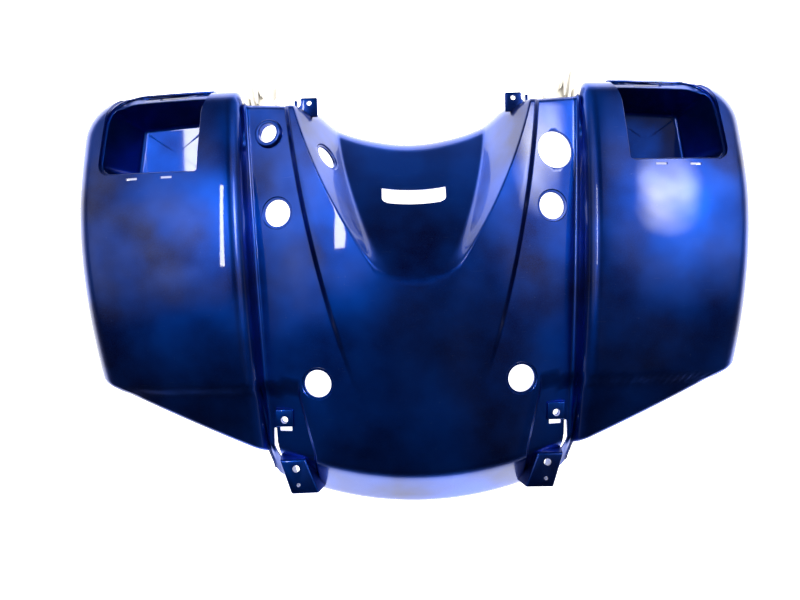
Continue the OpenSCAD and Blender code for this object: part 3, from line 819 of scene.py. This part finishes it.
def build_shell():
    sizes = bpy.context.scene.cover_sizes
    form = CoverForm(sizes)
    half = form.half_grid()
    left = half[:0:-1].copy()
    left[:, :, 0] *= -1
    shell = laid_grid("cover_shell", np.concatenate([left, half]))
    solid = shell.modifiers.new("wall", "SOLIDIFY")
    solid.thickness, solid.offset, solid.use_even_offset = sizes.wall, -1, True
    solid.use_quality_normals = True
    shell.data.materials.append(metallic_paint())
    shell.data.materials.append(raw_moulding())
    solid.material_offset = 1
    apply_last(shell)
    plug = sunk_hole(sizes.plug / MM / 2, 2.6, 1.0)
    tools = []
    for x, y in ((135.85, 89), (99.5, -79.4)):
        tools += [hole_tool(form, x, y, plug), hole_tool(form, -x, y, plug)]
    tools.append(hole_tool(form, 141.5, 145.4, rounded_hole(sizes.switch / MM / 2, lip=1.0)))
    tools.append(hole_tool(form, -143, 169, rounded_hole(sizes.ring / MM / 2)))
    tools.append(hole_tool(form, -86.5, 147.6, sunk_hole(sizes.wall_hole / MM / 2, 2.5, 1.0)))
    tools.append(ringed("slot_tool", [np.column_stack([slot_outline(), np.full(60, z)])
                                      for z in (30.0, 100.0)]))
    tools += both(lambda: opening_tool(form))
    for x in (242, 278):
        tools += both(lambda: box_tool(x - 6, x + 6, 124.9, 127.1, 70, 130))
    tools += both(lambda: block("boss_tool", shrunk(BOSS_FOOT, 3), 40, shrunk(BOSS_FACE, 2), 96))
    tools += both(lambda: drill(*LUG_BOLT, sizes.bolt / MM, 60, 130))
    slot_x, slot_y = LUG_SLOT
    tools += both(lambda: box_tool(slot_x - 6.2, slot_x + 6.2, slot_y - 2.2, slot_y + 2.2, 60, 130))
    tools += both(lambda: ringed("gap_tool", [np.column_stack([GAP[::-1], np.full(8, z)])
                                              for z in (50.0, 130.0)]))
    for tool in tools:
        carve(shell, [tool])
    finish_piece(shell, [metallic_paint(), raw_moulding()], angle=32)


def build_ring():
    sizes = bpy.context.scene.cover_sizes
    form = CoverForm(sizes)
    r = sizes.ring / MM / 2
    at, axis = (-143, 169, float(form.panel_z(-143, 169))), form.normal(-143, 169)
    body = [(r + 4.6, -2.2), (r + 4.9, 0.2), (r + 4.45, 0.9), (r + 4.3, 2.9), (r + 4.0, 3.6),
            (r + 3.4, 4.0), (r + 2, 4.1)]
    ring = turned("charger_ring", body, at, axis, steps=96)
    carve(ring, [turned("ring_tool", rounded_hole(r, top=4.1), at, axis, steps=96)])
    finish_piece(ring, [metallic_paint()])


def build_pockets():
    sizes = bpy.context.scene.cover_sizes
    form = CoverForm(sizes)
    floor_z = sizes.pocket_floor / MM
    rim = pocket_outline(RIM, RIM_R, flare=7.5)
    floor = pocket_outline([(216, 135.5), (301, 137.5), (292.5, 194.5), (219, 200.5)], [7, 8, 6, 6])
    at_top = smooth((rim[:, 1] - 203) / 13)[:, None]

    def rim_ring(d, drop, bar=0.0):
        p = inset(rim, d) - np.array([0, 1.0]) * bar * at_top
        on = np.column_stack([p[:, 0], np.minimum(p[:, 1], 218.2)])
        return np.column_stack([p, form.wing_z(on[:, 0], on[:, 1]) - drop])

    def floor_ring(d, z):
        return np.column_stack([inset(floor, d), np.full(len(floor), z)])
    lip = rim_ring(3.0, 6.2, bar=8.0)
    foot = floor_ring(0.0, floor_z + 4.0)
    rings = [rim_ring(-1.4, 1.6), rim_ring(0.15, 1.5), rim_ring(0.4, 2.0), rim_ring(0.6, 4.3),
             rim_ring(1.0, 4.9), rim_ring(1.9, 4.8, bar=7.0), rim_ring(2.6, 5.2, bar=7.6), lip]
    rings += [mix(lip, foot, t) for t in (0.06, 0.3, 0.6, 0.9)]
    rings += [foot] + [floor_ring(4.0 - 4.0 * math.cos(t), floor_z + 4.0 - 4.0 * math.sin(t)) for t in
                       (0.4, 0.8, 1.2, math.pi / 2)]
    rings += [floor_ring(4.6, floor_z), floor_ring(8.0, floor_z)]
    centre = np.repeat(floor_ring(0.0, floor_z).mean(axis=0, keepdims=True), len(floor), axis=0)
    table = np.array(rings + [centre])
    table = np.concatenate([table, table[:, :1]], axis=1)
    pocket = laid_grid("lamp_pocket_right", table.transpose(1, 0, 2))
    wall = pocket.modifiers.new("wall", "SOLIDIFY")
    up = sum(p.normal.z * p.area for p in pocket.data.polygons) > 0
    wall.thickness, wall.offset = 0.0022, -1 if up else 1
    apply_last(pocket)
    in_edit(pocket, lambda: bpy.ops.mesh.normals_make_consistent(inside=False))
    carve(pocket, [box_tool(229, 258, 212.6, 214.9, 40, 110)])
    mirrored_pocket = mirrored(pocket, "lamp_pocket_left")
    for piece in (pocket, mirrored_pocket):
        finish_piece(piece, [metallic_paint()], angle=40)


def build_brackets():
    sizes = bpy.context.scene.cover_sizes
    bolt, pin = sizes.bolt / MM, sizes.pin / MM
    boss = block("bumper_bracket_right", BOSS_FOOT, [58, 58, 58, 58], BOSS_FACE, 100, edge=1.8)
    carve(boss, [block("inside", shrunk(BOSS_FOOT, 3), 30, shrunk(BOSS_FACE, 3), 97)])
    carve(boss, [drill(*BOSS_BOLT, bolt, 80, 120)])
    carve(boss, [drill(*BOSS_PIN, pin, 80, 120)])
    lug = block("bracket_lug_right", LUG_FOOT, 91, LUG_FACE, [101, 100, 101, 101.6], edge=0.9)
    carve(lug, [drill(*LUG_BOLT, bolt, 80, 120)])
    for piece in (boss, lug):
        other = mirrored(piece, piece.name.replace("right", "left"))
        finish_piece(piece, [metallic_paint()])
        finish_piece(other, [metallic_paint()])


def build_ears():
    sizes = bpy.context.scene.cover_sizes
    outline = [(-8.5, -14), (12, -14), (12, -6), (8.7, -1.2), (8.3, 1.5), (8.8, 4), (7.4, 5.5),
               (-7.6, 5.5), (-8.5, 4.6)]
    ear = plate("ear_right", [(104.5 + u, 204 + v) for u, v in outline], 74, 77, edge=0.5)
    carve(ear, [drill(104.5, 204, sizes.ear_hole / MM, 60, 90)])
    side = plate("ear_side", [(116.2, 190), (119.2, 190), (119.2, 206), (116.2, 206)], 66, 80, edge=0.6)
    carve(ear, [side], "UNION")
    other = mirrored(ear, "ear_left")
    for piece in (ear, other):
        finish_piece(piece, [metallic_paint()])


def build_forks():
    def prong(name, x, reach, low, high, root):
        outline = [(root, low), (root + 14, low), (reach, high - 5.5), (reach, high), (root, high)]
        return plate(name, outline, x, x + 1.6, axis="X", edge=0.35)
    inner = prong("fork_right", 137, 243, 64, 75.5, 203)
    outer = prong("outer_prong", 156.8, 242, 64, 75.5, 205)
    brace = plate("brace", [(157.5, 222), (158.6, 223.5), (154.4, 213), (153.2, 213)], 66, 74, edge=0.2)
    web = plate("web", [(139, 224.4), (142, 222.6), (147, 225.8), (154, 225.6), (156, 221), (158, 214),
                        (161, 208), (158, 200), (150, 200.5), (145, 205), (140.5, 213), (138, 221)],
                64, 66.4, edge=0.7)
    rib = plate("rib", [(162.6, 202), (163.8, 208), (165.6, 224), (164.4, 231), (162.9, 224), (160.8, 208),
                        (159.2, 199)], 60, 80, edge=0.4)
    lump = pocket_outline([(164, 198), (176, 199), (175, 212), (166, 214)], [3] * 4, n_side=3, n_arc=4)
    heights = ((0.9, 60), (1.0, 62), (1.0, 74), (0.94, 76.5), (0.75, 78.4), (0.4, 79.2))
    roll = ringed("roll", [np.column_stack([lump * s + np.array([170, 205.5]) * (1 - s), np.full(24, z)])
                           for s, z in heights])
    foot = plate("foot", [(136.5, 198), (166, 197), (166, 206), (136.5, 206)], 68, 70.4, edge=0.5)
    for piece in (outer, brace, web, rib, roll, foot):
        carve(inner, [piece], "UNION")
    other = mirrored(inner, "fork_left")
    for piece in (inner, other):
        finish_piece(piece, [raw_moulding()])


# Studio

def strip_light(name, at, look, size, power, colour=(1, 1, 1)):
    data = bpy.data.lights.new(name, "AREA")
    data.shape, data.size, data.size_y, data.energy, data.color = "RECTANGLE", size[0], size[1], power, colour
    lamp = bpy.data.objects.new(name, data)
    bpy.context.scene.collection.objects.link(lamp)
    lamp.location = at
    lamp.rotation_euler = (Vector(look) - Vector(at)).to_track_quat("-Z", "Y").to_euler()
    return lamp


def joined(tree, a, b):
    node = add(tree, "ShaderNodeMath", operation="ADD")
    tree.links.new(a, node.inputs[0])
    tree.links.new(b, node.inputs[1])
    return node.outputs["Value"]


def soft_spot(tree, way, towards, low, high, power):
    """A round patch of light in the room, soft at its edge: low and high are cosines from its middle."""
    dot = add(tree, "ShaderNodeVectorMath", operation="DOT_PRODUCT")
    tree.links.new(way, dot.inputs[0])
    dot.inputs[1].default_value = Vector(towards).normalized()
    spot = add(tree, "ShaderNodeMapRange", interpolation_type="SMOOTHSTEP", From_Min=low, From_Max=high,
               To_Max=power)
    tree.links.new(dot.outputs["Value"], spot.inputs["Value"])
    return spot.outputs["Result"]


# Brightness of the room by the height of a direction: 0 at the horizon, 1 straight up
ROOM_SHADE = [(0.0, 0.7), (0.10, 0.45), (0.22, 0.10), (0.42, 0.03), (0.7, 0.012), (1.0, 0.012)]
# Soft patches of light in the room: direction, cosine at the rim, cosine at full light, power
GLOWS = [((-0.93, 0.55, 1.0), 0.86, 0.985, 1.35), ((0.93, 0.58, 1.0), 0.86, 0.985, 1.35),
         ((0.90, 0.66, 1.0), 0.990, 0.9996, 17.0), ((0.86, 0.55, 1.0), 0.990, 0.9996, 17.0),
         ((0.82, 0.44, 1.0), 0.990, 0.9996, 14.0), ((-0.48, 0.30, 1.0), 0.93, 0.998, 1.0),
         ((0.05, 0.05, 1.0), 0.90, 1.0, 0.12), ((0.5, -0.2, 1.0), 0.93, 0.995, 0.12)]
TABLE_SIZE = 9
CAMERA_X = -0.017
SENSOR = 36
FOCAL_PX, FRAME_PX = 648, 800
TUBE_AT, TUBE_SIZE, TUBE_SHARE = (-0.92, 0.9, 2.3), (0.14, 1.1), 0.6
KEY_AT, KEY_SIZE, KEY_SHARE = (0.5, 0.7, 2.4), (1.5, 1.5), 3.0


def build_stage():
    look = bpy.context.scene.studio_look
    leave_all()
    bpy.ops.mesh.primitive_grid_add(x_subdivisions=8, y_subdivisions=8, size=TABLE_SIZE)
    floor = bpy.context.object
    floor.name = floor.data.name = "table"
    floor.data.materials.append(table_top())
    camera = bpy.data.objects.new("camera", bpy.data.cameras.new("camera"))
    bpy.context.scene.collection.objects.link(camera)
    camera.location = (CAMERA_X, -MID_Y * MM, look.camera_height)
    camera.rotation_euler = (0, 0, look.camera_turn)
    camera.data.lens, camera.data.sensor_width = SENSOR * FOCAL_PX / FRAME_PX, SENSOR
    camera.data.clip_start = 0.05
    bpy.context.scene.camera = camera
    world = bpy.data.worlds.new("room")
    bpy.context.scene.world = world
    world.use_nodes = True
    tree = world.node_tree
    way = add(tree, "ShaderNodeTexCoord").outputs["Generated"]
    up = add(tree, "ShaderNodeSeparateXYZ", Vector=way).outputs["Z"]
    shade = ramp(tree, up, ROOM_SHADE)
    mottle = ramp(tree, add(tree, "ShaderNodeTexNoise", Vector=way, Scale=4.5, Detail=2.5).outputs["Fac"],
                  [(0.38, 0.45), (0.66, 1.0)])
    glow = soft_spot(tree, way, *GLOWS[0])
    for patch in GLOWS[1:]:
        glow = joined(tree, glow, soft_spot(tree, way, *patch))
    cloudy = add(tree, "ShaderNodeMath", operation="MULTIPLY")
    tree.links.new(glow, cloudy.inputs[0])
    tree.links.new(mottle, cloudy.inputs[1])
    back = next(n for n in tree.nodes if n.type == "BACKGROUND")
    tree.links.new(joined(tree, shade, cloudy.outputs["Value"]), back.inputs["Color"])
    back.inputs["Strength"].default_value = look.room
    tubes = look.tubes
    strip_light("tube", TUBE_AT, (TUBE_AT[0], TUBE_AT[1], 0), TUBE_SIZE, tubes * TUBE_SHARE)
    key = strip_light("soft_key", KEY_AT, (0, 0, 0), KEY_SIZE, tubes * KEY_SHARE)
    # The key lights the table and the bare plastic, and is not mirrored in the paint
    key.visible_glossy = False
    bpy.context.scene.view_settings.view_transform = "Standard"


# Operators, panel and registration

class COVER_OT_shell(bpy.types.Operator):
    """Builds the painted shell with its holes and openings"""
    bl_idname = "cover.shell"
    bl_label = "Shell"
    bl_options = {"REGISTER", "UNDO"}

    def execute(self, context):
        build_shell()
        return {"FINISHED"}


class COVER_OT_ring(bpy.types.Operator):
    """Builds the raised ring round the charger hole"""
    bl_idname = "cover.ring"
    bl_label = "Charger ring"
    bl_options = {"REGISTER", "UNDO"}

    def execute(self, context):
        build_ring()
        return {"FINISHED"}


class COVER_OT_pockets(bpy.types.Operator):
    """Builds the two lamp pockets"""
    bl_idname = "cover.pockets"
    bl_label = "Lamp pockets"
    bl_options = {"REGISTER", "UNDO"}

    def execute(self, context):
        build_pockets()
        return {"FINISHED"}


class COVER_OT_brackets(bpy.types.Operator):
    """Builds the bumper brackets and the lugs above them"""
    bl_idname = "cover.brackets"
    bl_label = "Bumper brackets"
    bl_options = {"REGISTER", "UNDO"}

    def execute(self, context):
        build_brackets()
        return {"FINISHED"}


class COVER_OT_ears(bpy.types.Operator):
    """Builds the screw ears at the ends of the arc"""
    bl_idname = "cover.ears"
    bl_label = "Ears"
    bl_options = {"REGISTER", "UNDO"}

    def execute(self, context):
        build_ears()
        return {"FINISHED"}


class COVER_OT_forks(bpy.types.Operator):
    """Builds the forks at the top corners"""
    bl_idname = "cover.forks"
    bl_label = "Top forks"
    bl_options = {"REGISTER", "UNDO"}

    def execute(self, context):
        build_forks()
        return {"FINISHED"}


class COVER_OT_stage(bpy.types.Operator):
    """Builds the table, the lights and the camera"""
    bl_idname = "cover.stage"
    bl_label = "Studio"
    bl_options = {"REGISTER", "UNDO"}

    def execute(self, context):
        build_stage()
        return {"FINISHED"}


OPERATORS = (COVER_OT_shell, COVER_OT_ring, COVER_OT_pockets, COVER_OT_brackets, COVER_OT_ears,
             COVER_OT_forks, COVER_OT_stage)
GROUP_CLASSES = (CoverSizes, CoverPaint, StudioLook)


class COVER_PT_panel(bpy.types.Panel):
    bl_label = "Front body cover"
    bl_idname = "COVER_PT_panel"
    bl_space_type = "VIEW_3D"
    bl_region_type = "UI"
    bl_category = "Cover"

    def draw(self, context):
        for group in (context.scene.cover_sizes, context.scene.cover_paint, context.scene.studio_look):
            box = self.layout.box()
            for key in group.bl_rna.properties.keys():
                if key not in ("rna_type", "name"):
                    box.prop(group, key)
        for operator in OPERATORS:
            self.layout.operator(operator.bl_idname)


def register():
    for cls in (*GROUP_CLASSES, *OPERATORS, COVER_PT_panel):
        bpy.utils.register_class(cls)
    bpy.types.Scene.cover_sizes = PointerProperty(type=CoverSizes)
    bpy.types.Scene.cover_paint = PointerProperty(type=CoverPaint)
    bpy.types.Scene.studio_look = PointerProperty(type=StudioLook)


def unregister():
    for name in ("cover_sizes", "cover_paint", "studio_look"):
        delattr(bpy.types.Scene, name)
    for cls in (COVER_PT_panel, *reversed(OPERATORS), *reversed(GROUP_CLASSES)):
        bpy.utils.unregister_class(cls)


def main():
    register()
    for operator in OPERATORS:
        group, name = operator.bl_idname.split(".")
        getattr(getattr(bpy.ops, group), name)()


if __name__ == "__main__":
    main()
